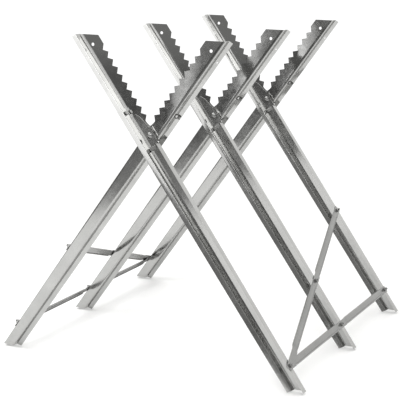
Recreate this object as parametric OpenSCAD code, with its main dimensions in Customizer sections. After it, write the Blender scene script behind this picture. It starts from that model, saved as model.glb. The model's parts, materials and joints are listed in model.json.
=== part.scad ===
/* [Overall] */
// Height of the jaw tips above the floor when open
open_height = 815; // [805:5:850]
// Height of the pivot bolts above the floor when open
pivot_height = 582; // [565:1:600]
// Slope of every leg from the horizontal when open, in degrees
leg_slope = 54.7; // [53:0.1:57]
// Distance from one crossed frame to the next
frame_pitch = 387; // [330:1:420]

/* [Sheet metal] */
// Thickness of the galvanised sheet in the legs, jaws and braces
sheet = 1.3; // [1:0.1:1.5]
// Inner-side fold line, measured from the pivot
fold_in = 21.5; // [21:0.1:24]
// Outer-side fold line at the pivot, measured from the pivot
fold_out = 13; // [12.5:0.1:14]
// How much nearer the outer fold line is at the foot
leg_taper = 7; // [0:0.5:8]
// Depth of the flange on the inner side
inner_flange = 23; // [20:0.5:25]
// Depth of that flange at the foot of a leg
foot_flange = 18; // [17:0.5:23]
// Depth of the flange on the outer side
outer_flange = 20; // [18:0.5:22]
// Width of the lip that turns outward from the inner flange
lip = 10; // [8:0.5:11]

/* [Jaws] */
// Distance of the tooth tips from the pivot line
tooth_line = 20.7; // [19:0.1:23]
// Distance between teeth
tooth_pitch = 22.3; // [21:0.1:23]
// Depth of a notch
tooth_depth = 10.2; // [8:0.1:11]
// Number of teeth on a jaw
tooth_count = 9; // [7:1:9]
// Distance from the pivot to the lowest tooth
last_tooth = 45.5; // [42:0.5:50]
// Diameter of the hole near the tip of each jaw
tip_hole_d = 8; // [6:0.5:10]

/* [Braces] */
// Width of a brace strip
brace_w = 20; // [16:1:20]
// Depth of the inward turned edges of a brace strip
brace_edge = 4.5; // [3:0.5:5]
// Distance of the low brace bolts from the pivot, along the leg
low_bolt = 640; // [600:5:660]
// Distance of the upper end of the diagonal from the pivot, along the leg
high_bolt = 378; // [340:2:420]

/* [Fasteners] */
// Diameter of the pivot bolts
pivot_d = 8; // [6:1:8]
// Diameter of the small bolts
small_d = 6; // [5:1:6]
// Diameter of the stop pins
stop_d = 5; // [4:0.5:5]
// Angle through which the legs fold together, in degrees
fold_range = 62; // [50:1:63]

/* [Hidden] */
$fn = 64;
slit = 0.1;                 // room between nested sheets
side_gap = 0.3;             // room between the two hinged halves
spacer_t = 2;               // thickness of the washer between the halves
spacer_d = 22;
washer_t = 1.6;               // washer under the lock nut
washer_d = 16;
jaw_u = (spacer_t + side_gap) / 2;    // inner face of a jaw plate, from the middle plane
leg_u = jaw_u + sheet + slit;         // inner face of a leg web
front_u = leg_u + sheet;              // outer face of a leg web
foot_trim = 0.8;                      // flat worn on the corner of each lip
foot_cut = lip * cos(leg_slope) - foot_trim;   // height at which the web is cut
jaw_top = along(open_height, -fold_in);
jaw_end = 27;               // lower end of a jaw, past the pivot
flange_start = -88;         // upper end of a leg's inner flange
taper_start = jaw_end + 3;  // the inner flange grows shallower from here to the foot
taper_run = 700;            // distance over which the outer fold line comes in by leg_taper
web_chamfer = [[-62, -4], [-50, 3], [-27, 8]];   // cut-away upper corner of a leg's web
sleeve_b = fold_out + slit + sheet;   // outer face of the jaw's outer flange
sleeve_start = -17;
sleeve_end = 23;
neck_b = tooth_line - tooth_depth;    // the jaw is narrowest just below the last tooth
neck_a = -last_tooth + tooth_depth;
valley = -15;               // where the web reaches its full width
outer_start = 26;           // upper end of a leg's outer flange
sleeve_rise = 2;            // how far the jaw's outer flange stands past the leg's web
leg_fold = -fold_in + sheet + slit;   // outer face of the leg's nested inner flange
jaw_bolt = -75;             // jaw bolt, along the arm
tip_hole = [-260, -4.5];    // hole near the tip of a jaw
lip_hole_drop = 60;         // small hole in a jaw's lip, below its top
lip_hole_d = 4;
jaw_bolt_u = jaw_u + 12;
brace_bolt_u = jaw_u + 12;
tongue_w = 16;              // tongue at the end of a jaw that hooks through the leg
tongue_b = -7;              // its centre line
tongue_reach = 9;
tongue_slot = sheet + 5;    // length of the leg's slot for it
stop_r = 15.7;              // stop pin, from the pivot
open_turn = 180 - 2 * leg_slope;      // angle between the legs when open
stop_room = 0.3;
cap_cut = 15;               // each end cap of the slot starts this many degrees off its arcs
bore_room = 0.05;           // radial room of the pivot bores
hole_room = 0.2;            // radial room of the other bolt holes
head_h = 4;
head_gap = 0.2;             // room between a small bolt's head and the sheet
nut_h = 5;
small_flats = 10;
pivot_flats = 13;
pivot_head_d = 15;
pivot_dome = 3.6;           // height of the pivot bolt's domed head
thread_end = 4;
brace_gap = 0.15;           // room under a brace, as the outer flange slants a little
diag_back = 0.15;           // extra room at the diagonal's upper end
diag_front = sheet + slit;  // the diagonal lies on the low brace at this end
run_a = low_bolt - high_bolt;
diag_flat = sqrt(run_a * run_a + 4 * frame_pitch * frame_pitch);
diag_b0 = outer_fold(low_bolt) + diag_front;
diag_b1 = outer_fold(high_bolt) + diag_back;
diag_len = sqrt(diag_flat * diag_flat + pow(diag_b1 - diag_b0, 2));
brace_past = 12;            // strip length past its end bolts
edge_trim = 34;             // turned edges stop this far from a bolt
edge_clear = 74;            // and this far where the diagonal crosses the low brace

zinc = [0.72, 0.73, 0.72];
jaw_grey = [0.5, 0.5, 0.49];
bright = [0.85, 0.85, 0.84];

// Each arm is drawn lying flat: x runs down the leg from the pivot, y toward its outer
// side, and z away from the middle plane of the crossed frame.

// Distance along the leg at which a line at offset b is at height z
function along(z, b) = (pivot_height + b * cos(leg_slope) - z) / sin(leg_slope);
// Offset of the outer fold line at distance a
function outer_fold(a) = fold_out - leg_taper * a / taper_run;

// Stands a flat arm up in the frame at position y
module stand(y = 0) {
    translate([0, y, pivot_height])
        rotate([0, leg_slope, 0])
            rotate([90, 0, 0])
                children();
}

// Turns a right-hand half into the left-hand half
module other_half() {
    rotate([0, 0, 180]) children();
}

// A sheet cut to an outline in the x-y plane, its inner face at height u
module flat_sheet(outline, u) {
    translate([0, 0, u]) linear_extrude(height = sheet) polygon(outline);
}

// A sheet cut to an outline in the x-z plane, from offset b over width w
module side_sheet(outline, b, w) {
    translate([0, b + w, 0])
        rotate([90, 0, 0])
            linear_extrude(height = w)
                polygon(outline);
}

// A round hole or bar along y, through offset b
module cross_bar(a, b, u, r, length) {
    translate([a, b, u]) rotate([-90, 0, 0]) cylinder(r = r, h = length);
}

module hexagon(flats, height) {
    cylinder(r = flats / 2 / cos(30), h = height, $fn = 6);
}

function arc_points(centre, r, from, to, steps) = [
    for (k = [0 : steps])
        let (t = from + (to - from) * k / steps)
            centre + r * [cos(t), sin(t)]
];

// The curved slot that lets the stop pin travel
module stop_slot(bottom, height) {
    r = stop_d / 2 + stop_room;
    near = fold_range - open_turn;
    far = -open_turn;
    translate([0, 0, bottom])
        linear_extrude(height = height)
            polygon(concat(
                arc_points([0, 0], stop_r + r, near, far, 24),
                arc_points(stop_r * [cos(far), sin(far)], r, far - cap_cut, far - 180 + cap_cut, 10),
                arc_points([0, 0], stop_r - r, far, near, 24),
                arc_points(stop_r * [cos(near), sin(near)], r, near + 180 - cap_cut, near + cap_cut, 10)
            ));
}

// Round or curved holes at the pivot, shared by a leg and a jaw
module pivot_holes(slotted) {
    depth = 4 * sheet;
    if (slotted) {
        translate([0, 0, jaw_u - sheet]) cylinder(d = pivot_d + 2 * bore_room, h = depth);
        stop_slot(jaw_u - sheet, depth);
    } else {
        translate([0, 0, jaw_u - sheet + depth / 2])
            cube([pivot_d + 2 * slit, pivot_d + 2 * slit, depth], center = true);
        translate([stop_r, 0, jaw_u - sheet]) cylinder(d = stop_d + 2 * bore_room, h = depth);
    }
}

// Tooth outline from the top of the jaw to the valley where two jaws meet
function tooth_points() = [
    for (k = [0 : 2 * tooth_count])
        let (a = -last_tooth - tooth_pitch * (tooth_count - k / 2))
            [a, k % 2 == 0 ? tooth_line : tooth_line - tooth_depth]
];
// Curve from below the lowest tooth into the jaw's outer flange
function valley_points(steps = 8) = [
    for (k = [1 : steps])
        let (t = k / steps)
            [neck_a + t * (sleeve_start - neck_a), neck_b + t * t * (sleeve_b - neck_b)]
];

// A toothed jaw: plate, inner flange and lip, with a tongue at its lower end
module jaw(slotted) {
    lip_u = jaw_u + inner_flange - sheet;
    difference() {
        flat_sheet(concat(
            [[jaw_top, -fold_in], [along(open_height, tooth_line), tooth_line]],
            tooth_points(),
            [[neck_a, neck_b]],
            valley_points(),
            [[sleeve_end, sleeve_b], [sleeve_end, -fold_in]]
        ), jaw_u);
        pivot_holes(slotted);
        translate([tip_hole.x, tip_hole.y, jaw_u - 1]) cylinder(d = tip_hole_d, h = sheet + 2);
    }
    difference() {
        side_sheet([[jaw_top, jaw_u], [jaw_end, jaw_u],
                    [jaw_end, jaw_u + inner_flange], [jaw_top, jaw_u + inner_flange]],
                   -fold_in, sheet);
        cross_bar(jaw_bolt, -fold_in - 1, jaw_bolt_u, small_d / 2 + hole_room, sheet + 2);
    }
    difference() {
        translate([jaw_top, -fold_in - lip, lip_u]) cube([jaw_end - jaw_top, lip + sheet, sheet]);
        translate([jaw_top + lip_hole_drop, -fold_in - lip / 2, lip_u - 1])
            cylinder(d = lip_hole_d, h = sheet + 2);
    }
    jaw_sleeve();
    tongue();
}

// The jaw's short outer flange, which wraps the leg's outer flange near the pivot
module jaw_sleeve() {
    side_sheet([[sleeve_start, jaw_u], [sleeve_end, jaw_u],
                [sleeve_end, front_u + sleeve_rise], [sleeve_start, front_u + sleeve_rise]],
               sleeve_b - sheet, sheet);
}

// The tongue steps through the slot in the leg and lies on its face
module tongue() {
    out_u = front_u + slit;
    b = tongue_b - tongue_w / 2;
    translate([sleeve_end - 1, b, jaw_u]) cube([jaw_end - sleeve_end + 1, tongue_w, sheet]);
    translate([jaw_end - sheet, b, jaw_u]) cube([sheet, tongue_w, out_u + sheet - jaw_u]);
    translate([jaw_end - sheet, b, out_u]) cube([tongue_reach, tongue_w, sheet]);
}

// A leg: web, inner flange, lip and outer flange, with its foot cut level
module leg(slotted, brace_bolts) {
    foot_in = along(foot_cut, leg_fold);
    foot_out = along(foot_cut, outer_fold(taper_run));
    depth_top = front_u - sheet + inner_flange;
    depth_foot = front_u - sheet + foot_flange;
    slot_w = tongue_w + 2;
    difference() {
        flat_sheet([
            [foot_in, leg_fold], [web_chamfer[0][0], leg_fold], each web_chamfer,
            [valley, fold_out], [foot_out, outer_fold(foot_out)]
        ], leg_u);
        pivot_holes(slotted);
        translate([jaw_end - sheet - 1, tongue_b - slot_w / 2, leg_u - 1])
            cube([tongue_slot, slot_w, sheet + 2]);
    }
    difference() {
        side_sheet([[flange_start, leg_u], [foot_in, leg_u],
                    [foot_in, depth_foot], [taper_start, depth_top], [flange_start, depth_top]],
                   leg_fold, sheet);
        cross_bar(jaw_bolt, leg_fold - 1, jaw_bolt_u, small_d / 2 + hole_room, sheet + 2);
    }
    leg_lip(foot_in, depth_top, depth_foot);
    difference() {
        outer_flange_sheet(foot_out);
        for (a = brace_bolts)
            cross_bar(a, outer_fold(a) - 4, brace_bolt_u, small_d / 2 + hole_room, 8);
    }
}

// The lip follows the sloping edge of the inner flange, and its corner is trimmed level
module leg_lip(foot_in, depth_top, depth_foot) {
    outside = -fold_in - lip;
    difference() {
        side_sheet([[flange_start, depth_top - sheet], [taper_start, depth_top - sheet],
                    [foot_in, depth_foot - sheet], [foot_in, depth_foot],
                    [taper_start, depth_top], [flange_start, depth_top]],
                   outside, lip + 2 * sheet + slit);
        translate([along(0, outside), outside, 0])
            rotate([0, 0, leg_slope - 90])
                translate([0, -lip, 0])
                    cube([lip, 2 * lip, 2 * inner_flange]);
    }
}

// The outer flange follows the slanting outer fold line
module outer_flange_sheet(foot_out) {
    translate([0, 0, leg_u])
        linear_extrude(height = outer_flange)
            polygon([
                [outer_start, outer_fold(outer_start) - sheet], [outer_start, outer_fold(outer_start)],
                [foot_out, outer_fold(foot_out)], [foot_out, outer_fold(foot_out) - sheet]
            ]);
}

// A brace strip; x runs along it from its first bolt. Its edges are turned inward between the legs.
module brace(length, bolts, edge_from) {
    spans = [[edge_from, length / 2 - edge_trim], [length / 2 + edge_trim, length - edge_trim]];
    difference() {
        union() {
            translate([-brace_past, 0, -brace_w / 2])
                cube([length + 2 * brace_past, sheet, brace_w]);
            for (span = spans, side = [-brace_w / 2, brace_w / 2 - sheet])
                translate([span[0], sheet - brace_edge, side])
                    cube([span[1] - span[0], brace_edge, sheet]);
        }
        for (x = bolts)
            cross_bar(x, -1, 0, small_d / 2 + hole_room, sheet + 2);
    }
}

module low_brace() {
    translate([low_bolt, outer_fold(low_bolt) + brace_gap, frame_pitch + brace_bolt_u])
        rotate([0, 90, 0])
            brace(2 * frame_pitch, [0, frame_pitch, 2 * frame_pitch], edge_trim);
}

module diagonal_brace() {
    translate([low_bolt, diag_b0 + brace_gap, frame_pitch + brace_bolt_u])
        rotate([0, 90 + atan(run_a / (2 * frame_pitch)), 0])
            rotate([0, 0, asin((diag_b1 - diag_b0) / diag_len)])
                brace(diag_len, [0, diag_len / 2, diag_len], edge_clear);
}

// Where the brace bolts sit: distance along the leg, frame number and strips they hold
mid_bolt = (low_bolt + high_bolt) / 2;
BRACE_BOLTS = [
    [low_bolt, 1, outer_fold(low_bolt) + brace_gap + 2 * sheet + slit],
    [low_bolt, 0, outer_fold(low_bolt) + brace_gap + sheet],
    [low_bolt, -1, outer_fold(low_bolt) + brace_gap + sheet],
    [mid_bolt, 0, (diag_b0 + diag_b1) / 2 + brace_gap + sheet],
    [high_bolt, -1, diag_b1 + brace_gap + sheet]
];

module brace_bolt(spot) {
    inner = outer_fold(spot[0]) - sheet - head_gap;
    translate([spot[0], inner, spot[1] * frame_pitch + brace_bolt_u])
        rotate([-90, 0, 0]) {
            cylinder(d = small_d, h = spot[2] - inner + nut_h + thread_end);
            translate([0, 0, -head_h]) hexagon(small_flats, head_h);
        }
}

module brace_nut(spot) {
    translate([spot[0], spot[2] + slit, spot[1] * frame_pitch + brace_bolt_u])
        rotate([-90, 0, 0])
            difference() {
                hexagon(small_flats, nut_h);
                translate([0, 0, -1]) cylinder(d = small_d + 2 * bore_room, h = nut_h + 2);
            }
}

module jaw_bolt_part() {
    head_b = leg_fold + sheet + slit;
    length = head_b + fold_in + lip + 2;
    translate([jaw_bolt, head_b, jaw_bolt_u])
        rotate([90, 0, 0]) {
            cylinder(d = small_d, h = length);
            translate([0, 0, -head_h]) hexagon(small_flats, head_h);
        }
}

module jaw_nut_part() {
    translate([jaw_bolt, -fold_in - slit, jaw_bolt_u])
        rotate([90, 0, 0])
            difference() {
                hexagon(small_flats, nut_h);
                translate([0, 0, -1]) cylinder(d = small_d + 2 * bore_room, h = nut_h + 2);
            }
}

// Stack along the pivot, on the far side of the left-hand leg
washer_u = front_u + side_gap;
nut_u = washer_u + washer_t;
pivot_nut_h = 8;

module pivot_bolt(y) {
    head_r = pivot_head_d / 2;
    ball = (head_r * head_r + pivot_dome * pivot_dome) / (2 * pivot_dome);
    neck = 2 * sheet + slit;
    tail = nut_u + pivot_nut_h + 2;
    stand(y) {
        translate([0, 0, -tail]) cylinder(d = pivot_d, h = tail + front_u);
        translate([0, 0, front_u - neck / 2]) cube([pivot_d, pivot_d, neck], center = true);
        translate([0, 0, front_u + slit])
            intersection() {
                translate([0, 0, pivot_dome - ball]) sphere(r = ball);
                cylinder(r = head_r, h = pivot_dome + 1);
            }
        translate([0, 0, front_u - 1]) cylinder(d = pivot_d, h = 2);
    }
}

module ring(outer, inner, height) {
    difference() {
        cylinder(d = outer, h = height);
        translate([0, 0, -1]) cylinder(d = inner, h = height + 2);
    }
}

module pivot_spacer(y) {
    stand(y) translate([0, 0, jaw_u - spacer_t]) ring(spacer_d, pivot_d + 2 * hole_room, spacer_t);
}

module pivot_washer(y) {
    stand(y) translate([0, 0, -nut_u]) ring(washer_d, pivot_d + 2 * hole_room, washer_t);
}

module pivot_nut(y) {
    stand(y)
        translate([0, 0, -nut_u - pivot_nut_h])
            difference() {
                hexagon(pivot_flats, pivot_nut_h);
                translate([0, 0, -1]) cylinder(d = pivot_d + 2 * bore_room, h = pivot_nut_h + 2);
            }
}

module stop_pin(y) {
    stand(y)
        translate([stop_r, 0, -front_u - 1])
            cylinder(d = stop_d, h = 2 * front_u + 1);
}

// Frame positions, counted from the front
FRAMES = [-frame_pitch, 0, frame_pitch];

// Brace bolt distances on each right-hand leg, counted from the front
LEG_BOLTS = [[low_bolt], [low_bolt, mid_bolt], [low_bolt, high_bolt]];

module right_leg(k) {
    color(zinc) stand(FRAMES[k]) leg(false, LEG_BOLTS[k]);
}
module left_leg(k) {
    color(zinc) other_half() stand(FRAMES[2 - k]) leg(true, LEG_BOLTS[2 - k]);
}
module left_jaw(k) {
    color(jaw_grey) stand(FRAMES[k]) jaw(false);
}
module right_jaw(k) {
    color(jaw_grey) other_half() stand(FRAMES[2 - k]) jaw(true);
}
module right_low_brace() { color(zinc) stand() low_brace(); }
module right_diagonal_brace() { color(zinc) stand() diagonal_brace(); }
module left_low_brace() { color(zinc) other_half() stand() low_brace(); }
module left_diagonal_brace() { color(zinc) other_half() stand() diagonal_brace(); }

module jaw_bolts() { color(bright) for (y = FRAMES) stand(y) jaw_bolt_part(); }
module jaw_nuts() { color(bright) for (y = FRAMES) stand(y) jaw_nut_part(); }
module brace_bolts() { color(bright) stand() for (spot = BRACE_BOLTS) brace_bolt(spot); }
module brace_nuts() { color(bright) stand() for (spot = BRACE_BOLTS) brace_nut(spot); }

right_leg(0);  // right_leg_front
right_leg(1);  // right_leg_middle
right_leg(2);  // right_leg_back
left_jaw(0);  // left_jaw_front
left_jaw(1);  // left_jaw_middle
left_jaw(2);  // left_jaw_back
left_leg(0);  // left_leg_front
left_leg(1);  // left_leg_middle
left_leg(2);  // left_leg_back
right_jaw(0);  // right_jaw_front
right_jaw(1);  // right_jaw_middle
right_jaw(2);  // right_jaw_back
right_low_brace();
right_diagonal_brace();
left_low_brace();
left_diagonal_brace();
color(bright) pivot_bolt(FRAMES[0]);  // pivot_bolt_front
color(bright) pivot_bolt(FRAMES[1]);  // pivot_bolt_middle
color(bright) pivot_bolt(FRAMES[2]);  // pivot_bolt_back
color(bright) pivot_spacer(FRAMES[0]);  // pivot_spacer_front
color(bright) pivot_spacer(FRAMES[1]);  // pivot_spacer_middle
color(bright) pivot_spacer(FRAMES[2]);  // pivot_spacer_back
color(bright) pivot_washer(FRAMES[0]);  // pivot_washer_front
color(bright) pivot_washer(FRAMES[1]);  // pivot_washer_middle
color(bright) pivot_washer(FRAMES[2]);  // pivot_washer_back
color(bright) pivot_nut(FRAMES[0]);  // pivot_nut_front
color(bright) pivot_nut(FRAMES[1]);  // pivot_nut_middle
color(bright) pivot_nut(FRAMES[2]);  // pivot_nut_back
color(bright) stop_pin(FRAMES[0]);  // stop_pin_front
color(bright) stop_pin(FRAMES[1]);  // stop_pin_middle
color(bright) stop_pin(FRAMES[2]);  // stop_pin_back
jaw_bolts();  // left_jaw_bolts
jaw_nuts();  // left_jaw_nuts
other_half() jaw_bolts();  // right_jaw_bolts
other_half() jaw_nuts();  // right_jaw_nuts
brace_bolts();  // right_brace_bolts
brace_nuts();  // right_brace_nuts
other_half() brace_bolts();  // left_brace_bolts
other_half() brace_nuts();  // left_brace_nuts
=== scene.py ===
"""Looks of the folding sawhorse: bent galvanised legs, toothed jaws, brace strips and fasteners."""

import json
import math

import bmesh
import bpy
from mathutils import Matrix, Vector


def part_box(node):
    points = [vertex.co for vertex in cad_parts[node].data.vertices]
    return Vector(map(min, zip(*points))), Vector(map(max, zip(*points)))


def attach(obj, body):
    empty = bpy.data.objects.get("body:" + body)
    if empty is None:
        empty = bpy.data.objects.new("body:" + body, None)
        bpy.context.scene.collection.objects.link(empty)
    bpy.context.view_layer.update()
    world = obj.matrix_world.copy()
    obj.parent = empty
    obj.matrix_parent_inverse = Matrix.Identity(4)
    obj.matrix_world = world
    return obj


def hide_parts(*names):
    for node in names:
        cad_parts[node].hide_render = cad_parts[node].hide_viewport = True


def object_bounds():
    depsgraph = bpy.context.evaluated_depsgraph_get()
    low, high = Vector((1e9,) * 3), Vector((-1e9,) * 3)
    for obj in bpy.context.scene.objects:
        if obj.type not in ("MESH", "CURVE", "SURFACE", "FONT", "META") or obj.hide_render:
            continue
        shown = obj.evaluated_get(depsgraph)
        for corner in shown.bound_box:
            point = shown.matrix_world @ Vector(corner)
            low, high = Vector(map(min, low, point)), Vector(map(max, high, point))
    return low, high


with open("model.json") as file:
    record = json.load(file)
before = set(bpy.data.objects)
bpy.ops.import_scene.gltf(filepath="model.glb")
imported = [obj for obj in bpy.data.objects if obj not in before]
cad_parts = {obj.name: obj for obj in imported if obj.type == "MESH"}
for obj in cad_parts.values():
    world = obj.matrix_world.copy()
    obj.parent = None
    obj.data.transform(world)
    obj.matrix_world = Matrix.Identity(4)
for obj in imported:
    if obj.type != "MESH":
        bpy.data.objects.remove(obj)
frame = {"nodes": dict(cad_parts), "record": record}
cad_low, cad_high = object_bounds()

MM = 0.001
ENDS = ("front", "middle", "back")


def centre(node):
    low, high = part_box(node)
    return (low + high) / 2


# The arms' own directions: the stop pin sits straight down the leg from the pivot bolt
pivot = Vector(frame["record"]["behaviour"]["joints"][0]["pos_m"]) / MM
pin = centre("stop_pin_middle") / MM
slope = math.atan2(pivot.z - pin.z, pin.x - pivot.x)
pitch = centre("pivot_bolt_back").y / MM - centre("pivot_bolt_middle").y / MM

# Sizes read off the frame, in millimetres
jaw_u = -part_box("left_jaw_middle")[1].y / MM
jaw_depth = -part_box("left_jaw_middle")[0].y / MM - jaw_u
leg_u = -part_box("right_leg_middle")[1].y / MM
leg_depth = -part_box("right_leg_middle")[0].y / MM - leg_u

# Sheet sizes, in millimetres
SHEET = 1.3
top = cad_high.z / MM - SHEET * math.cos(slope)
SLIT = 0.1
BEND = 1.7
FOLD_IN = 21.5
FOLD_OUT = 13.0
TAPER = 7.0
TAPER_RUN = 700.0
TAPER_START = 30.0
FOOT_DEPTH = 18.0
OUTER_DEPTH = 20.0
OUTER_START = 26.0
INNER_START = -88.0
FLANGE_OPEN = 1.0
LIP = 10.0
LIP_OPEN = 3.0
LEG_FOLD = -FOLD_IN + SHEET + SLIT
FOOT_WEAR = 0.8
FOOT_CUT = LIP * math.cos(slope) - FOOT_WEAR
FOOT_CLEAR = 0.2

# Upper end of a leg's web, as (offset, distance) pairs from its inner side to its outer side
WEB_CHAMFER = ((-15, -62), (-4, -62), (3, -50), (8, -27),
               (FOLD_OUT - 1.5, -15), (FOLD_OUT - 0.7, OUTER_START))

# Once the outer edge is within this room of the fourth point, that point moves to a share of its offset
SHOULDER_ROOM = 3.0
SHOULDER_SHARE = 0.62

# The inner flange reaches this far past its fold line, and the outer flange starts this far off the web
FOLD_ROOM = 4.0
WEB_ROOM = 3.0

# A cutting shape runs from this far before a sheet's face to this far past it
CUT_BEFORE = 1.0
CUT_PAST = 3.0

# Jaw sizes; SLEEVE holds the ends of the outer flange and TONGUE the sides of the tongue
TOOTH_LINE = 20.7
TOOTH_PITCH = 22.3
TOOTH_DEPTH = 10.2
TEETH = 9
LAST_TOOTH = 45.5
NECK = (-LAST_TOOTH + TOOTH_DEPTH, TOOTH_LINE - TOOTH_DEPTH)
SLEEVE_B = FOLD_OUT + SLIT + SHEET
SLEEVE = (-17.0, 23.0)
SLEEVE_RISE = 2.0
TONGUE = (-15.0, 1.0)
TONGUE_LIFT = 2.6
TONGUE_REACH = 9.0
TONGUE_ROOM = 1.0
TONGUE_SLOT = 4.0
TONGUE_BEND = 0.75
TONGUE_LAP = 0.05
JAW_END = 27.0
PLATE_MIDDLE = -12.0
FLANGE_SIDE = -FOLD_IN + 2.0
TOP_STEP = 1.0
TIP_HOLE = (-260.0, -4.5)
TIP_HOLE_R = 4.0
LIP_HOLE_DROP = 60.0
LIP_HOLE_R = 2.0

# Brace sizes
BRACE_W = 20.0
BRACE_EDGE = 4.5
LOW_BOLT = 640.0
HIGH_BOLT = 378.0
BRACE_PAST = 12.0
BRACE_GAP = 0.15
BRACE_BEND = 3.4
DIAG_BACK = 0.15
CAMBER = 0.8
CROWN_SHARE = 0.4
EDGE_TRIM = 34.0
EDGE_CLEAR = 74.0
EDGE_TURN = math.radians(86)

# A turned edge rises from this far before its start to this far past it, in steps
EASE_BEFORE = 8.0
EASE_PAST = 16.0
EASE_STEP = 4.0

# Fastener sizes
BOLT_U = jaw_u + 12.0
JAW_BOLT = -75.0
SMALL_D = 6.0
SMALL_FLATS = 10.0
HEAD_H = 4.0
HEAD_LAP = 0.5
HEAD_GAP = 0.2
NUT_H = 5.0
THREAD_END = 4.0
PIVOT_R = 4.0
PIVOT_FLATS = 13.0
PIVOT_HEAD_R = 7.5
COLLAR = 2.0
COLLAR_BEND = 0.4
NUT_ROOM = 0.05
THREAD_DEPTH = 0.45
THREAD_PITCH = 1.0
TIP_CHAMFER = 0.6
ROUND_SIDES = 48
SOFT_EDGE = 0.2

# Holes at the pivot; NECK_HOLE is half the width of the square one
BORE_R = 4.05
NECK_HOLE = 4.1
PIN_HOLE_R = 2.55
STOP_R = 15.7
SLOT_HALF = 2.8


def along(z, b):
    """Distance down the leg at which offset b is at height z."""
    return (pivot.z + b * math.cos(slope) - z) / math.sin(slope)


def outer_fold(a):
    """Offset of the outer fold line at distance a down the leg."""
    return FOLD_OUT - TAPER * a / TAPER_RUN


def blend(x, low, high):
    """Rises smoothly from 0 at low to 1 at high."""
    t = min(1.0, max(0.0, (x - low) / (high - low)))
    return t * t * (3 - 2 * t)


# ---------------------------------------------------------------- mesh helpers


def stand(y=0.0, half_turn=False):
    """Matrix from an arm's own directions, in millimetres, to the scene in metres."""
    down = Vector((math.cos(slope), 0, -math.sin(slope)))
    side = Vector((math.sin(slope), 0, math.cos(slope)))
    deep = Vector((0, -1, 0))
    m = Matrix((down, side, deep)).transposed().to_4x4()
    m.translation = Vector((0, y, pivot.z))
    if half_turn:
        m = Matrix.Rotation(math.pi, 4, "Z") @ m
    return Matrix.Scale(MM, 4) @ m


def left_normal(v):
    return Vector((-v.y, v.x))


def bent_line(corners, radius, steps=5):
    """A sheet's middle line with rounded bends, as (point, normal) pairs."""
    corners = [Vector(c) for c in corners]
    line = [(corners[0], left_normal((corners[1] - corners[0]).normalized()))]
    for before, corner, after in zip(corners, corners[1:], corners[2:]):
        into = (corner - before).normalized()
        away = (after - corner).normalized()
        turn = math.atan2(into.x * away.y - into.y * away.x, into.dot(away))
        if abs(turn) < 1e-4:
            line.append((corner, left_normal(into)))
            continue
        hand = math.copysign(1.0, turn)
        hub = corner - into * radius * math.tan(abs(turn) / 2) + hand * left_normal(into) * radius
        for k in range(steps + 1):
            spin = Matrix.Rotation(turn * k / steps, 2)
            normal = spin @ left_normal(into)
            line.append((hub - hand * normal * radius, normal))
    line.append((corners[-1], left_normal((corners[-1] - corners[-2]).normalized())))
    return line


def grid_sheet(rows, thickness):
    """A closed mesh from rows of (point, normal), half the thickness to each side."""
    verts = []
    faces = []
    count = len(rows[0])
    for hand in (0.5, -0.5):
        for row in rows:
            verts += [p + n * thickness * hand for p, n in row]
    far = len(rows) * count
    for i in range(len(rows) - 1):
        for j in range(count - 1):
            a = i * count + j
            quad = (a, a + 1, a + count + 1, a + count)
            faces.append(quad)
            faces.append(tuple(q + far for q in reversed(quad)))
    rim = [(0, j) for j in range(count)]
    rim += [(i, count - 1) for i in range(1, len(rows))]
    rim += [(len(rows) - 1, j) for j in range(count - 2, -1, -1)]
    rim += [(i, 0) for i in range(len(rows) - 2, 0, -1)]
    ring = [i * count + j for i, j in rim]
    for a, b in zip(ring, ring[1:] + ring[:1]):
        faces.append((b, a, a + far, b + far))
    return verts, faces


def revolved(outline, sides=32):
    """A closed mesh from an outline of (radius, height) pairs that starts and ends on the axis."""
    verts = [Vector((0, 0, outline[0][1]))]
    for r, h in outline[1:-1]:
        verts += [Vector((r * math.cos(t), r * math.sin(t), h))
                  for t in (2 * math.pi * k / sides for k in range(sides))]
    verts.append(Vector((0, 0, outline[-1][1])))
    last = len(verts) - 1
    rings = len(outline) - 2
    faces = []
    for k in range(sides):
        n = (k + 1) % sides
        faces.append((0, 1 + n, 1 + k))
        for ring in range(rings - 1):
            a = 1 + ring * sides
            faces.append((a + k, a + n, a + sides + n, a + sides + k))
        faces.append((1 + (rings - 1) * sides + k, 1 + (rings - 1) * sides + n, last))
    return verts, faces


def threaded(radius, start, end):
    """Outline of a shaft with ridges from start to end and a small chamfer at its tip."""
    root = radius - THREAD_DEPTH
    outline = []
    for k in range(int((end - start - 0.8) / THREAD_PITCH)):
        h = start + k * THREAD_PITCH
        outline += [(root, h), (radius, h + 0.35 * THREAD_PITCH), (radius, h + 0.6 * THREAD_PITCH)]
    outline += [(root, end - TIP_CHAMFER), (root - THREAD_DEPTH, end), (0, end)]
    return outline


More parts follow.
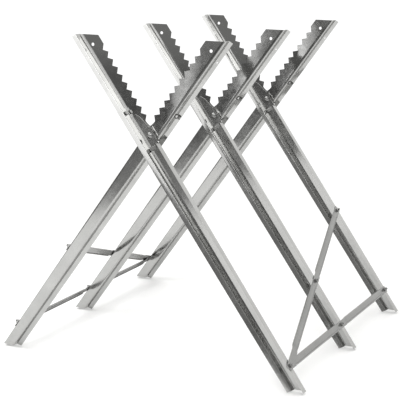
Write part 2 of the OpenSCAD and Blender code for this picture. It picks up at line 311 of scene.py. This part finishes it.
def hex_prism(flats, low, high, bore=0.0):
    """A hexagon with rounded-off corners at both ends; a bore runs through it if given."""
    sides = ROUND_SIDES
    turns = [2 * math.pi * k / sides for k in range(sides)]
    apothem = flats / 2
    corner = apothem / math.cos(math.pi / 6)
    rounded = apothem * 0.96

    def ring(h, limit):
        points = []
        for t in turns:
            off = (t + math.pi / 6) % (math.pi / 3) - math.pi / 6
            r = min(apothem / math.cos(off), limit)
            points.append(Vector((r * math.cos(t), r * math.sin(t), h)))
        return points

    rings = [ring(low, rounded), ring(low + TIP_CHAMFER, corner),
             ring(high - TIP_CHAMFER, corner), ring(high, rounded)]
    if bore:
        circle = [Vector((bore * math.cos(t), bore * math.sin(t), 0)) for t in turns]
        rings += [[p + Vector((0, 0, high)) for p in circle], [p + Vector((0, 0, low)) for p in circle]]
    verts = [p for r in rings for p in r]
    faces = []
    loops = len(rings) if bore else len(rings) - 1
    for i in range(loops):
        a, b = i * sides, (i + 1) % len(rings) * sides
        faces += [(a + k, a + (k + 1) % sides, b + (k + 1) % sides, b + k) for k in range(sides)]
    if not bore:
        faces.append(tuple(reversed(range(sides))))
        faces.append(tuple(range(3 * sides, 4 * sides)))
    return verts, faces


def placed(part, matrix):
    verts, faces = part
    return [matrix @ v for v in verts], faces


def joined(parts):
    verts = []
    faces = []
    for v, f in parts:
        faces += [tuple(i + len(verts) for i in face) for face in f]
        verts += v
    return verts, faces


def make(name, part, matrix, material):
    """A piece from verts and faces, in metres once the matrix is applied."""
    verts, faces = placed(part, matrix)
    mesh = bpy.data.meshes.new(name)
    mesh.from_pydata(verts, [], faces)
    bm = bmesh.new()
    bm.from_mesh(mesh)
    bmesh.ops.remove_doubles(bm, verts=bm.verts, dist=1e-6)
    bmesh.ops.recalc_face_normals(bm, faces=bm.faces)
    bm.to_mesh(mesh)
    bm.free()
    mesh.materials.append(material)
    piece = bpy.data.objects.new(name, mesh)
    bpy.context.collection.objects.link(piece)
    smooth(piece)
    return piece


def smooth(piece, angle=28):
    """Smooth shading, except at edges sharper than the angle."""
    bm = bmesh.new()
    bm.from_mesh(piece.data)
    for face in bm.faces:
        face.smooth = True
    for edge in bm.edges:
        edge.smooth = edge.calc_face_angle(0) < math.radians(angle)
    bm.to_mesh(piece.data)
    bm.free()


def cut(piece, part, matrix):
    """Cuts a closed shape out of a piece."""
    tool = make("cutter", part, matrix, piece.data.materials[0])
    mod = piece.modifiers.new("cut", "BOOLEAN")
    mod.operation = "DIFFERENCE"
    mod.solver = "EXACT"
    mod.object = tool
    result = bpy.data.meshes.new_from_object(piece.evaluated_get(bpy.context.evaluated_depsgraph_get()))
    piece.modifiers.clear()
    piece.data = result
    bpy.data.objects.remove(tool)
    smooth(piece)


def stand_for(piece, body, slot_name, *nodes):
    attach(piece, body)
    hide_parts(*nodes)
    return piece


# ---------------------------------------------------------------- materials


def node_maker(tree):
    def add(kind, inputs=None, **settings):
        node = tree.nodes.new(kind)
        for key, value in settings.items():
            setattr(node, key, value)
        for key, value in (inputs or {}).items():
            if isinstance(value, bpy.types.NodeSocket):
                tree.links.new(value, node.inputs[key])
            else:
                node.inputs[key].default_value = value
        return node
    return add


TINT = (1.0, 1.0, 0.985)


def zinc(name, tone, rough, spangle=0.025):
    """Galvanised steel: a tint, faint spangle, cloudy patches, slight waves, grain and uneven polish."""
    mat = bpy.data.materials.new(name)
    mat.use_nodes = True
    tree = mat.node_tree
    tree.nodes.clear()
    add = node_maker(tree)
    spot = add("ShaderNodeTexCoord").outputs["Object"]
    crystals = add("ShaderNodeTexVoronoi", {"Vector": spot, "Scale": 120.0, "Randomness": 1.0})
    clouds = add("ShaderNodeTexNoise", {"Vector": spot, "Scale": 16.0, "Detail": 2.0, "Roughness": 0.45})
    fine = add("ShaderNodeTexNoise", {"Vector": spot, "Scale": 900.0, "Detail": 3.0, "Roughness": 0.6})
    crystal_tone = add("ShaderNodeSeparateColor", {"Color": crystals.outputs["Color"]}).outputs["Red"]
    shade = add("ShaderNodeMapRange", {"Value": crystal_tone,
                                       "To Min": 1.0 - spangle, "To Max": 1.0 + spangle})
    cloud = add("ShaderNodeMapRange", {"Value": clouds.outputs["Fac"], "From Min": 0.3, "From Max": 0.7,
                                       "To Min": 0.93, "To Max": 1.05})
    both = add("ShaderNodeMath", {0: shade.outputs["Result"], 1: cloud.outputs["Result"]},
               operation="MULTIPLY")
    level = add("ShaderNodeMath", {0: both.outputs[0], 1: tone}, operation="MULTIPLY")
    colour = add("ShaderNodeCombineColor", {
        c: add("ShaderNodeMath", {0: level.outputs[0], 1: t}, operation="MULTIPLY").outputs[0]
        for c, t in zip(("Red", "Green", "Blue"), TINT)})
    scuff = add("ShaderNodeMapRange", {"Value": clouds.outputs["Fac"], "From Min": 0.35, "From Max": 0.7,
                                       "To Min": rough - 0.02, "To Max": rough + 0.03})
    grit = add("ShaderNodeMapRange", {"Value": crystal_tone, "To Min": -0.015, "To Max": 0.015})
    roughness = add("ShaderNodeMath", {0: scuff.outputs["Result"], 1: grit.outputs["Result"]})
    waves = add("ShaderNodeBump", {"Height": clouds.outputs["Fac"], "Strength": 0.12, "Distance": 0.001})
    bump = add("ShaderNodeBump", {"Height": fine.outputs["Fac"], "Strength": 0.04, "Distance": 0.00002,
                                  "Normal": waves.outputs["Normal"]})
    steel = add("ShaderNodeBsdfPrincipled", {"Base Color": colour.outputs["Color"],
                                             "Roughness": roughness.outputs[0],
                                             "Normal": bump.outputs["Normal"]})
    steel.inputs["Metallic"].default_value = 1.0
    add("ShaderNodeOutputMaterial", {"Surface": steel.outputs["BSDF"]})
    return mat


leg_zinc = zinc("leg_zinc", 0.44, 0.12)
jaw_zinc = zinc("jaw_zinc", 0.44, 0.08, spangle=0.035)
brace_zinc = zinc("brace_zinc", 0.28, 0.20)
bolt_zinc = zinc("fastener_zinc", 0.30, 0.24, spangle=0.01)


# ---------------------------------------------------------------- legs


def leg_line(a):
    """Cross-section of a leg at distance a, from the lip's edge round to the outer flange's edge."""
    taper = max(0.0, (a - TAPER_START) / (along(FOOT_CUT, LEG_FOLD) - TAPER_START))
    depth = leg_depth + (FOOT_DEPTH - leg_depth) * taper
    lip_u = leg_u + depth - SHEET / 2
    inner = LEG_FOLD + SHEET / 2
    outer = outer_fold(a) - SHEET / 2
    web = leg_u + SHEET / 2
    shoulder = WEB_CHAMFER[3][0]
    if outer <= shoulder + SHOULDER_ROOM:
        shoulder = outer * SHOULDER_SHARE
    corners = [(-FOLD_IN - LIP, lip_u), (inner - FLANGE_OPEN, lip_u - LIP_OPEN), (inner + FLANGE_OPEN, web)]
    corners += [(b, web) for b, _ in WEB_CHAMFER[:3]]
    corners += [(shoulder, web), (outer, web), (outer, leg_u + OUTER_DEPTH)]
    return bent_line(corners, BEND - SHEET / 2)


def leg_start(b, u):
    """Where the leg's upper end is cut: long inner flange, chamfered web, short outer flange."""
    on_inner_flange = b < LEG_FOLD + FOLD_ROOM
    on_outer_flange = u > leg_u + WEB_ROOM
    if on_inner_flange:
        return INNER_START
    if on_outer_flange:
        return OUTER_START
    for (b0, a0), (b1, a1) in zip(WEB_CHAMFER, WEB_CHAMFER[1:]):
        if b <= b1:
            return a0 + (a1 - a0) * max(0.0, (b - b0) / (b1 - b0))
    return OUTER_START


def leg_end(b):
    """Where the foot is cut at offset b: level across the web, square across the lip, its corner worn."""
    if b >= LEG_FOLD:
        return along(FOOT_CUT, b)
    return min(along(FOOT_CUT, LEG_FOLD), along(FOOT_CLEAR, b))


def leg_part():
    """A leg as one bent sheet, its rows spread between the cut upper end and the foot."""
    top_line = leg_line(0)
    foot_line = leg_line(TAPER_RUN)
    rows = []
    steps = 22
    for k in range(steps + 1):
        t = k / steps
        row = []
        for j, (p, _) in enumerate(top_line):
            start = leg_start(p.x, p.y)
            end = leg_end(foot_line[j][0].x)
            a = start + (end - start) * t
            q, n = leg_line(a)[j]
            row.append((Vector((a, q.x, q.y)), Vector((0, n.x, n.y))))
        rows.append(row)
    return grid_sheet(rows, SHEET)


def box_part(low, high):
    verts = [Vector((x, y, z))
             for x in (low[0], high[0]) for y in (low[1], high[1]) for z in (low[2], high[2])]
    faces = [(0, 1, 3, 2), (4, 6, 7, 5), (0, 4, 5, 1), (2, 3, 7, 6), (0, 2, 6, 4), (1, 5, 7, 3)]
    return verts, faces


def slot_part(low, high, first, last, steps=16):
    """The curved slot for the stop pin, between two angles measured from the leg's own direction."""
    turns = [first + (last - first) * k / steps for k in range(steps + 1)]
    far, near = STOP_R + SLOT_HALF, STOP_R - SLOT_HALF
    outline = [(far * math.cos(t), far * math.sin(t)) for t in turns]
    outline += [(near * math.cos(t), near * math.sin(t)) for t in reversed(turns)]
    n = len(outline)
    verts = [Vector((x, y, z)) for z in (low, high) for x, y in outline]
    faces = [(k, (k + 1) % n, n + (k + 1) % n, n + k) for k in range(n)]
    for k in range(steps):
        a, b, c, d = k, k + 1, n - 2 - k, n - 1 - k
        faces += [(a, d, c, b), (n + a, n + b, n + c, n + d)]
    return verts, faces


def disc_part(r, low, high, sides=32):
    return revolved([(0, low), (r, low), (r, high), (0, high)], sides)


open_turn = math.pi - 2 * slope
fold_range = math.radians(frame["record"]["behaviour"]["joints"][0]["range_deg"][1])
slot_reach = math.asin(SLOT_HALF / STOP_R)


def pivot_cuts(piece, place, slotted):
    """Round bore and stop slot in the hinged half; square and pin holes in the other."""
    low, high = jaw_u - CUT_BEFORE, leg_u + CUT_PAST
    if slotted:
        slot = slot_part(low, high, -open_turn - slot_reach, fold_range - open_turn + slot_reach)
        cut(piece, disc_part(BORE_R, low, high, ROUND_SIDES), place)
        cut(piece, slot, place)
    else:
        cut(piece, box_part((-NECK_HOLE, -NECK_HOLE, low), (NECK_HOLE, NECK_HOLE, high)), place)
        cut(piece, disc_part(PIN_HOLE_R, low, high, ROUND_SIDES), place @ Matrix.Translation((STOP_R, 0, 0)))


def build_legs():
    part = leg_part()
    tongue_slot = box_part(
        (JAW_END - SHEET - TONGUE_ROOM, TONGUE[0] - TONGUE_ROOM, leg_u - CUT_BEFORE),
        (JAW_END + TONGUE_SLOT - SHEET, TONGUE[1] + TONGUE_ROOM, leg_u + CUT_PAST))
    for half in (False, True):
        side = "left" if half else "right"
        for end, y in zip(ENDS, (-pitch, 0, pitch)):
            place = stand(-y if half else y, half)
            leg = make(f"{side}_leg_{end}", part, place, leg_zinc)
            cut(leg, tongue_slot, place)
            pivot_cuts(leg, place, half)
            stand_for(leg, f"{side}_frame", "leg_zinc", f"{side}_leg_{end}")


# ---------------------------------------------------------------- jaws


def jaw_edge():
    """The toothed edge from top to bottom, as (distance, offset)."""
    first = -LAST_TOOTH - TEETH * TOOTH_PITCH
    edge = [(along(top, TOOTH_LINE) + TOP_STEP, TOOTH_LINE), (first, TOOTH_LINE)]
    for k in range(1, 2 * TEETH + 1):
        edge.append((first + k * TOOTH_PITCH / 2, TOOTH_LINE - (TOOTH_DEPTH if k % 2 else 0)))
    steps = 8
    for k in range(steps + 1):
        t = k / steps
        edge.append((NECK[0] + t * (SLEEVE[0] - NECK[0]), NECK[1] + t * t * (SLEEVE_B - NECK[1])))
    edge += [(SLEEVE[0] + SLIT, SLEEVE_B - 2 * SHEET), (SLEEVE[1], SLEEVE_B - 2 * SHEET)]
    return edge


def jaw_line(b_edge):
    """Cross-section of a jaw, from the lip's edge to the plate's edge at offset b_edge."""
    lip_u = jaw_u + jaw_depth - SHEET / 2
    inner = -FOLD_IN + SHEET / 2
    plate = jaw_u + SHEET / 2
    return bent_line([(-FOLD_IN - LIP, lip_u), (inner - FLANGE_OPEN, lip_u - LIP_OPEN),
                      (inner + FLANGE_OPEN, plate), (PLATE_MIDDLE, plate),
                      (b_edge, plate)], BEND - SHEET / 2)


def row_at(a, line):
    """A cross-section's points and normals at distance a down the arm."""
    return [(Vector((a, p.x, p.y)), Vector((0, n.x, n.y))) for p, n in line]


def plate_part():
    """A jaw's plate, inner flange and lip. Its top is level, and the flange runs on past the plate."""
    rows = [[(Vector((along(top, max(p.x, -FOLD_IN)), p.x, p.y)), Vector((0, n.x, n.y)))
             for p, n in jaw_line(TOOTH_LINE)]]
    rows += [row_at(a, jaw_line(b)) for a, b in jaw_edge()]
    rows[-1] = [(Vector((JAW_END if p.y < FLANGE_SIDE else p.x, p.y, p.z)), n) for p, n in rows[-1]]
    return grid_sheet(rows, SHEET)


def sleeve_part():
    """The short outer flange of a jaw, beside the leg's web."""
    middle = SLEEVE_B - SHEET / 2
    line = bent_line([(SLEEVE_B - 2 * SHEET, jaw_u + SHEET / 2), (middle, jaw_u + SHEET / 2),
                      (middle, leg_u + SHEET + SLEEVE_RISE)], BEND - SHEET / 2)
    return grid_sheet([row_at(a, line) for a in (SLEEVE[0] + SLIT, SLEEVE[1])], SHEET)


def tongue_part():
    """The tongue at a jaw's lower end, which steps through the leg's web and stands off it a little."""
    plate = jaw_u + SHEET / 2
    outside = leg_u + SHEET + SLIT + SHEET / 2
    step = JAW_END - SHEET / 2
    tip = JAW_END - SHEET + TONGUE_REACH
    line = bent_line([(SLEEVE[1] - TONGUE_LAP, plate), (step, plate), (step, outside),
                      (tip, outside + TONGUE_LIFT)], TONGUE_BEND, 4)
    rows = [[(Vector((p.x, b, p.y)), Vector((n.x, 0, n.y))) for p, n in line] for b in TONGUE]
    return grid_sheet(rows, SHEET)


def build_jaws():
    part = joined([plate_part(), sleeve_part(), tongue_part()])
    tip_hole = disc_part(TIP_HOLE_R, jaw_u - CUT_BEFORE, jaw_u + CUT_PAST)
    lip_top = jaw_u + jaw_depth
    lip_hole = disc_part(LIP_HOLE_R, lip_top - CUT_PAST, lip_top + CUT_BEFORE)
    lip_spot = Matrix.Translation((along(top, -FOLD_IN) + LIP_HOLE_DROP, -FOLD_IN - LIP / 2, 0))
    for half in (False, True):
        side = "right" if half else "left"
        body = "left_frame" if half else "right_frame"
        for end, y in zip(ENDS, (-pitch, 0, pitch)):
            place = stand(-y if half else y, half)
            jaw = make(f"{side}_jaw_{end}", part, place, jaw_zinc)
            cut(jaw, tip_hole, place @ Matrix.Translation((*TIP_HOLE, 0)))
            cut(jaw, lip_hole, place @ lip_spot)
            pivot_cuts(jaw, place, half)
            stand_for(jaw, body, "jaw_zinc", f"{side}_jaw_{end}")


# ---------------------------------------------------------------- braces

run_a = LOW_BOLT - HIGH_BOLT
climb = math.atan2(run_a, 2 * pitch)
diag_low = outer_fold(LOW_BOLT) + SHEET + SLIT
diag_high = outer_fold(HIGH_BOLT) + DIAG_BACK
diag_length = math.sqrt(run_a ** 2 + (2 * pitch) ** 2 + (diag_high - diag_low) ** 2)


def brace_part(length, edge_from):
    """A strip whose edges turn inward between the legs, and lie flat where it is bolted."""
    spans = ((edge_from, length / 2 - EDGE_TRIM), (length / 2 + EDGE_TRIM, length - EDGE_TRIM))
    ease_steps = int((EASE_BEFORE + EASE_PAST) / EASE_STEP) + 1
    stations = [-BRACE_PAST]
    for start, end in spans:
        stations += [start - EASE_BEFORE + EASE_STEP * k for k in range(ease_steps)]
        stations += [start + EASE_PAST + (end - start - 2 * EASE_PAST) * k / 4 for k in range(1, 4)]
        stations += [end - EASE_PAST + EASE_STEP * k for k in range(ease_steps)]
    stations.append(length + BRACE_PAST)
    reach = BRACE_EDGE - SHEET / 2

    def turned(x):
        return sum(blend(x, start - EASE_BEFORE, start + EASE_PAST)
                   * (1 - blend(x, end - EASE_PAST, end + EASE_BEFORE)) for start, end in spans)

    def section(shape):
        # Neither the turn nor the crown is ever quite zero, so that every section has as many points
        turn = max(EDGE_TURN * shape, math.radians(1))
        crown = SHEET / 2 + CAMBER * max(shape, 0.02)
        half = BRACE_W / 2 - SHEET / 2 - reach * math.cos(turn)
        drop = SHEET / 2 - reach * math.sin(turn)
        wide = half + reach * math.cos(turn)
        return bent_line([(drop, -wide), (SHEET / 2, -half),
                          (crown, -half * CROWN_SHARE), (crown, half * CROWN_SHARE),
                          (SHEET / 2, half), (drop, wide)], BRACE_BEND, 5)

    return grid_sheet([row_at(x, section(turned(x))) for x in stations], SHEET)


def build_braces():
    low = brace_part(2 * pitch, EDGE_TRIM)
    diagonal = brace_part(diag_length, EDGE_CLEAR)
    quarter = Matrix.Rotation(math.pi / 2, 4, "Y")
    low_place = Matrix.Translation((LOW_BOLT, outer_fold(LOW_BOLT) + BRACE_GAP, pitch + BOLT_U)) @ quarter
    lean = Matrix.Rotation(math.asin((diag_high - diag_low) / diag_length), 4, "Z")
    diag_place = (Matrix.Translation((LOW_BOLT, diag_low + BRACE_GAP, pitch + BOLT_U))
                  @ Matrix.Rotation(math.pi / 2 + climb, 4, "Y") @ lean)
    for half in (False, True):
        side = "left" if half else "right"
        for kind, part, place in (("low", low, low_place), ("diagonal", diagonal, diag_place)):
            piece = make(f"{side}_{kind}_brace", part, stand(0, half) @ place, brace_zinc)
            stand_for(piece, f"{side}_frame", "brace_zinc", f"{side}_{kind}_brace")


# ---------------------------------------------------------------- fasteners


def bolt_part(diameter, flats, head, length, thread):
    """A hexagon bolt pointing along +z, its head below zero."""
    r = diameter / 2
    start = length - thread
    shaft = revolved([(0, -HEAD_LAP), (r, -HEAD_LAP), (r, start)] + threaded(r, start + 0.1, length))
    return joined([shaft, hex_prism(flats, -head, 0)])


def nut_part(flats, height, diameter, collar=0.0):
    """A hexagon nut standing on zero, with the round collar of a lock nut if asked for."""
    r = diameter / 2 + NUT_ROOM
    nut = hex_prism(flats, 0, height - collar, bore=r)
    if not collar:
        return nut
    side, shoulder, crown = flats * 0.44, flats * 0.42, flats * 0.38
    ring = [(r, height - collar), (side, height - collar),
            (shoulder, height - COLLAR_BEND), (crown, height), (r, height)]
    sides = ROUND_SIDES
    verts = [Vector((q * math.cos(2 * math.pi * k / sides), q * math.sin(2 * math.pi * k / sides), h))
             for q, h in ring for k in range(sides)]
    faces = [(i * sides + k, i * sides + (k + 1) % sides,
              (i + 1) % len(ring) * sides + (k + 1) % sides, (i + 1) % len(ring) * sides + k)
             for i in range(len(ring)) for k in range(sides)]
    return joined([nut, (verts, faces)])


def brace_spots():
    """Each brace bolt's distance down the leg, frame number and the outer face that its nut meets."""
    middle = (LOW_BOLT + HIGH_BOLT) / 2
    strip = BRACE_GAP + SHEET
    low_face = outer_fold(LOW_BOLT) + strip
    return ((LOW_BOLT, 1, low_face + SHEET + SLIT), (LOW_BOLT, 0, low_face), (LOW_BOLT, -1, low_face),
            (middle, 0, (diag_low + diag_high) / 2 + strip), (HIGH_BOLT, -1, diag_high + strip))


def build_small_bolts():
    """Jaw bolts and brace bolts: heads inside the channels, nuts and thread ends outside."""
    outward = Matrix.Rotation(-math.pi / 2, 4, "X")
    inward = Matrix.Rotation(math.pi / 2, 4, "X")
    thread = NUT_H + THREAD_END
    head_b = LEG_FOLD + SHEET + SLIT
    jaw_bolt = bolt_part(SMALL_D, SMALL_FLATS, HEAD_H, head_b + FOLD_IN + LIP + 2, thread)
    nut = nut_part(SMALL_FLATS, NUT_H, SMALL_D)
    for half in (False, True):
        side = "left" if half else "right"
        jaw_side = "right" if half else "left"
        body = f"{side}_frame"
        bolts, nuts = [], []
        for y in (-pitch, 0, pitch):
            for items, part, b in ((bolts, jaw_bolt, head_b), (nuts, nut, -FOLD_IN - SLIT)):
                local = Matrix.Translation((JAW_BOLT, b, BOLT_U)) @ inward
                items.append(placed(part, stand(y, half) @ local))
        for items, word in ((bolts, "bolts"), (nuts, "nuts")):
            piece = make(f"{jaw_side}_jaw_{word}", joined(items), Matrix.Identity(4), bolt_zinc)
            stand_for(piece, body, "fastener_zinc", f"{jaw_side}_jaw_{word}")
        bolts, nuts = [], []
        for a, row, face in brace_spots():
            inner = outer_fold(a) - SHEET - HEAD_GAP
            bolt = bolt_part(SMALL_D, SMALL_FLATS, HEAD_H, face - inner + thread, thread)
            for items, part, b in ((bolts, bolt, inner), (nuts, nut, face + SLIT)):
                local = Matrix.Translation((a, b, row * pitch + BOLT_U)) @ outward
                items.append(placed(part, stand(0, half) @ local))
        for items, word in ((bolts, "bolts"), (nuts, "nuts")):
            piece = make(f"{side}_brace_{word}", joined(items), Matrix.Identity(4), bolt_zinc)
            stand_for(piece, body, "fastener_zinc", f"{side}_brace_{word}")


def build_pivots():
    """Domed pivot bolts with a square neck, thread end and lock nut."""
    low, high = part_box("pivot_bolt_middle")
    tip, crown = high.y / MM, -low.y / MM
    nut_low, nut_high = (v.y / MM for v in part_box("pivot_nut_middle"))
    face = leg_u + SHEET + SLIT
    dome = crown - face
    ball = (PIVOT_HEAD_R ** 2 + dome ** 2) / (2 * dome)
    sweep = math.asin(PIVOT_HEAD_R / ball)
    steps = 8
    head = [(ball * math.sin(sweep * k / steps), face + dome - ball + ball * math.cos(sweep * k / steps))
            for k in range(steps, 0, -1)]
    start = nut_low - 1
    thread = [(r, -h) for r, h in reversed(threaded(PIVOT_R, start, tip)[:-1])]
    shank = [(PIVOT_R, -start), (PIVOT_R, face), (PIVOT_HEAD_R, face)]
    bolt = revolved([(0, -tip)] + thread + shank + head[1:] + [(0, crown)], ROUND_SIDES)
    neck = box_part((-PIVOT_R, -PIVOT_R, jaw_u), (PIVOT_R, PIVOT_R, leg_u + SHEET))
    flip = Matrix.Rotation(math.pi, 4, "X")
    nut = nut_part(PIVOT_FLATS, nut_high - nut_low, 2 * PIVOT_R, collar=COLLAR)
    for end, y in zip(ENDS, (-pitch, 0, pitch)):
        piece = make(f"pivot_bolt_{end}", joined([bolt, neck]), stand(y), bolt_zinc)
        stand_for(piece, "right_frame", "fastener_zinc", f"pivot_bolt_{end}")
        nut_place = stand(y) @ Matrix.Translation((0, 0, -nut_low)) @ flip
        piece = make(f"pivot_nut_{end}", nut, nut_place, bolt_zinc)
        stand_for(piece, "right_frame", "fastener_zinc", f"pivot_nut_{end}")


def dress_cad_nodes():
    """Washers, spacers and stop pins stay as the CAD has them, with softened edges."""
    for name in [f"{kind}_{end}" for kind in ("pivot_spacer", "pivot_washer", "stop_pin") for end in ENDS]:
        node = frame["nodes"][name]
        node.data.materials.clear()
        node.data.materials.append(bolt_zinc)
        bevel = node.modifiers.new("soft_edges", "BEVEL")
        bevel.width = SOFT_EDGE * MM
        bevel.segments = 2


# ---------------------------------------------------------------- stage, light and camera


def build_floor():
    """A round pale floor, wide enough for the view."""
    rings, sides, reach, height = 12, 96, 2.3, -0.0006
    outline = [Vector((0, 0, height))]
    faces = []
    for ring in range(1, rings + 1):
        for k in range(sides):
            t = 2 * math.pi * k / sides
            r = reach * ring / rings
            outline.append(Vector((r * math.cos(t), r * math.sin(t), height)))
    for k in range(sides):
        n = (k + 1) % sides
        faces.append((0, 1 + k, 1 + n))
        for ring in range(rings - 1):
            a = 1 + ring * sides
            faces.append((a + k, a + sides + k, a + sides + n, a + n))
    mat = bpy.data.materials.new("floor_paint")
    mat.use_nodes = True
    tree = mat.node_tree
    tree.nodes.clear()
    add = node_maker(tree)
    mottle = add("ShaderNodeTexNoise", {"Vector": add("ShaderNodeTexCoord").outputs["Object"], "Scale": 3.0})
    pale = add("ShaderNodeMapRange", {"Value": mottle.outputs["Fac"], "To Min": 0.93, "To Max": 0.95})
    paint = add("ShaderNodeBsdfPrincipled", {"Base Color": add("ShaderNodeCombineColor", {
        c: pale.outputs["Result"] for c in ("Red", "Green", "Blue")}).outputs["Color"]})
    paint.inputs["Roughness"].default_value = 0.9
    add("ShaderNodeOutputMaterial", {"Surface": paint.outputs["BSDF"]})
    mesh = bpy.data.meshes.new("floor")
    mesh.from_pydata(outline, [], faces)
    mesh.materials.append(mat)
    floor = bpy.data.objects.new("floor", mesh)
    bpy.context.collection.objects.link(floor)


def area_light(name, place, target, size, power):
    light = bpy.data.lights.new(name, "AREA")
    light.shape = "RECTANGLE"
    light.size, light.size_y = size
    light.energy = power
    lamp = bpy.data.objects.new(name, light)
    lamp.location = place
    lamp.rotation_mode = "QUATERNION"
    lamp.rotation_quaternion = (Vector(target) - Vector(place)).to_track_quat("-Z", "Y")
    bpy.context.collection.objects.link(lamp)


# Brightness of the surroundings against height, from straight down at 0 to straight up at 1.
# The front is darkest a little below the horizon, where sheets that face it mirror it near the pivots.
FRONT_SKY = ((0.0, 0.4), (0.41, 0.32), (0.425, 0.13), (0.437, 0.09), (0.455, 0.3), (0.5, 0.2), (0.6, 0.3),
             (0.8, 0.8), (1.0, 1.0))
BACK_SKY = ((0.0, 0.1), (0.45, 0.3), (0.5, 0.6), (0.58, 1.0), (0.8, 1.0), (1.0, 1.0))


def build_world():
    """White where the camera looks past the object, and a studio with a front and a back to mirror."""
    world = bpy.data.worlds.new("studio")
    bpy.context.scene.world = world
    world.use_nodes = True
    tree = world.node_tree
    tree.nodes.clear()
    add = node_maker(tree)
    direction = add("ShaderNodeTexCoord").outputs["Generated"]
    parts = add("ShaderNodeSeparateXYZ", {"Vector": direction})
    height = add("ShaderNodeMapRange", {"Value": parts.outputs["Z"], "From Min": -1.0, "From Max": 1.0})
    behind = add("ShaderNodeMapRange", {"Value": parts.outputs["Y"], "From Min": -0.35, "From Max": 0.35},
                 interpolation_type="SMOOTHSTEP")

    def sky_ramp(stops):
        ramp = add("ShaderNodeValToRGB", {"Fac": height.outputs["Result"]})
        elements = ramp.color_ramp.elements
        while len(elements) < len(stops):
            elements.new(0.5)
        for element, (position, level) in zip(elements, stops):
            element.position = position
            element.color = (level, level, level * 0.985, 1)
        return ramp.outputs["Color"]

    studio = add("ShaderNodeMix", {"Factor": behind.outputs["Result"]}, data_type="RGBA")
    tree.links.new(sky_ramp(FRONT_SKY), studio.inputs["A"])
    tree.links.new(sky_ramp(BACK_SKY), studio.inputs["B"])
    seen = add("ShaderNodeLightPath").outputs["Is Camera Ray"]
    mix = add("ShaderNodeMix", {"Factor": seen}, data_type="RGBA")
    tree.links.new(studio.outputs["Result"], mix.inputs["A"])
    mix.inputs["B"].default_value = (1.0, 1.0, 1.0, 1)
    sky = add("ShaderNodeBackground", {"Color": mix.outputs["Result"], "Strength": 1.12})
    add("ShaderNodeOutputWorld", {"Surface": sky.outputs["Background"]})


def build_camera():
    """The view the object is shown from: a long lens, in front to the right and a little above."""
    place = Vector((1.4688, -3.4481, 1.117))
    azimuth, tilt, roll = math.radians(23.58), math.radians(11.51), math.radians(0.945)
    level = math.cos(tilt)
    forward = Vector((-math.sin(azimuth) * level, math.cos(azimuth) * level, -math.sin(tilt)))
    right = Vector((math.cos(azimuth), math.sin(azimuth), 0))
    upward = right.cross(forward)
    turned_right = right * math.cos(roll) + upward * math.sin(roll)
    turned_up = upward * math.cos(roll) - right * math.sin(roll)
    lens = bpy.data.cameras.new("camera")
    lens.sensor_width = 36
    lens.lens = 129.1
    camera = bpy.data.objects.new("camera", lens)
    turn = Matrix((turned_right, turned_up, -forward)).transposed().to_4x4()
    turn.translation = place
    camera.matrix_world = turn
    bpy.context.collection.objects.link(camera)
    bpy.context.scene.camera = camera


def build_lights():
    """Two panels in front, a soft light above on the left, and a faint strip that the right jaws mirror."""
    area_light("front_left_panel", (-0.6, -3.0, 1.55), (-0.2, 0, 1.0), (2.0, 1.4), 14)
    area_light("front_right_panel", (1.3, -3.0, 2.3), (0.1, 0, 1.0), (1.5, 1.2), 22)
    area_light("overhead_left", (-1.3, -0.6, 2.4), (-0.6, -0.6, 0), (1.6, 1.6), 22)
    area_light("jaw_strip", (-1.15, -3.12, 0.4), (0.1, -0.2, 0.7), (0.07, 0.6), 0.2)


build_legs()
build_jaws()
build_braces()
build_small_bolts()
build_pivots()
dress_cad_nodes()
build_floor()
build_world()
build_lights()
build_camera()

bpy.context.scene.view_settings.view_transform = "Standard"
